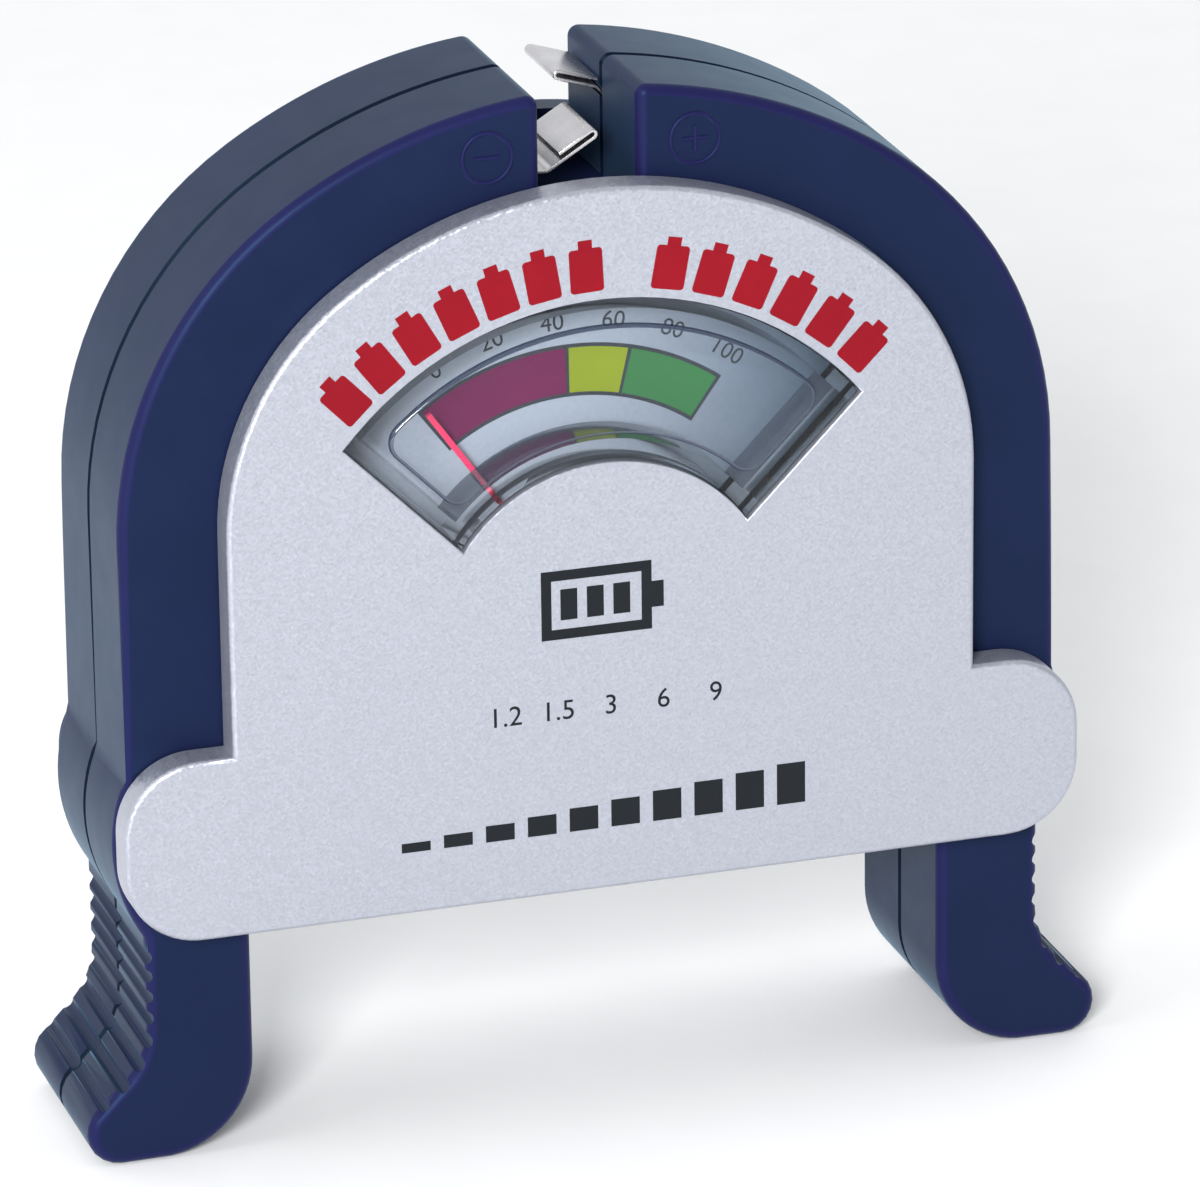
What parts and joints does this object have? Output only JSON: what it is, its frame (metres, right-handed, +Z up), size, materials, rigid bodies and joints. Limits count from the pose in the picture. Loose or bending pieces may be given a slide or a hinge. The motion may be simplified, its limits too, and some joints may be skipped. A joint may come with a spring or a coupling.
{
  "type": "battery tester",
  "caption": "Hand-held battery tester: two sprung clamp arms with bare contact jaws on an arched body that shows a coloured analogue meter, worked by squeezing the ribbed handles.",
  "frame": {"origin": "on the standing surface, under the middle of the object, at the arms' joint line", "axes": "+Z up along the middle of the meter, +X to the plus jaw on the right as the meter is read, +Y to the rear"},
  "size_m": [0.0858, 0.0254, 0.0856],
  "materials": {
    "silver_cover": "silver metallic paint, fine grain, satin",
    "blue_case": "fine moulded texture",
    "blue_arm": "satin moulded, fine texture",
    "clear_lens": "clear, polished",
    "meter_plastic": "moulded",
    "dial_print": "matt printed",
    "pointer_paint": "matt paint",
    "bright_steel": "ground",
    "copper_wire": "enamelled copper winding",
    "soft_iron": "turned",
    "magnet_ferrite": "sintered",
    "meter_brass": "stamped",
    "spring_bronze": "drawn",
    "spring_steel": "drawn wire",
    "contact_nickel": "nickel plated, lightly rubbed",
    "resistor_tan": "lacquered",
    "resistor_blue": "lacquered",
    "lead_black": "pvc sleeve",
    "lead_red": "pvc sleeve",
    "screw_steel": "zinc plated"
  },
  "bodies": {
    "case": {"front_cover": "silver_cover", "rear_case": "blue_case", "lens": "clear_lens", "meter_case": "meter_plastic", "dial_plate": "dial_print", "iron_core": "soft_iron", "magnet": "magnet_ferrite", "yoke_ring": "soft_iron", "front_bridge": "meter_brass", "rear_bridge": "meter_brass", "front_jewel_screw": "meter_brass", "rear_jewel_screw": "meter_brass", "terminal_lugs": "meter_brass", "load_resistor": "resistor_tan", "series_resistor": "resistor_blue", "left_pivot_pin": "bright_steel", "right_pivot_pin": "bright_steel", "cover_screws": "screw_steel"},
    "left_arm": {"left_arm_front_shell": "blue_arm", "left_arm_rear_shell": "blue_arm", "left_contact": "contact_nickel", "left_arm_spring": "spring_steel", "left_lead": "lead_black", "left_arm_screws": "screw_steel"},
    "right_arm": {"right_arm_front_shell": "blue_arm", "right_arm_rear_shell": "blue_arm", "right_contact": "contact_nickel", "right_arm_spring": "spring_steel", "right_lead": "lead_red", "right_arm_screws": "screw_steel"},
    "meter_movement": {"pointer": "pointer_paint", "pointer_staff": "bright_steel", "moving_coil": "copper_wire", "front_hairspring": "spring_bronze", "rear_hairspring": "spring_bronze"}
  },
  "joints": [
    {"name": "left_arm_swing", "type": "hinge", "parent": "case", "child": "left_arm", "pos_m": [-0.0315, 0, 0.02745], "axis": [0, -1, 0], "range_deg": [0, 27], "stiffness_Nm_per_rad": 0.12, "springref_deg": -45.84, "deforming": ["left_arm_spring", "left_lead"]},
    {"name": "right_arm_swing", "type": "hinge", "parent": "case", "child": "right_arm", "pos_m": [0.0315, 0, 0.02745], "axis": [0, 1, 0], "range_deg": [0, 27], "stiffness_Nm_per_rad": 0.12, "springref_deg": -45.84, "deforming": ["right_arm_spring", "right_lead"]},
    {"name": "pointer_swing", "type": "hinge", "parent": "case", "child": "meter_movement", "pos_m": [0, 0, 0.04175], "axis": [0, 1, 0], "range_deg": [0, 71], "stiffness_Nm_per_rad": 0.00002, "springref_deg": -5.73, "deforming": ["front_hairspring", "rear_hairspring"]}
  ]
}
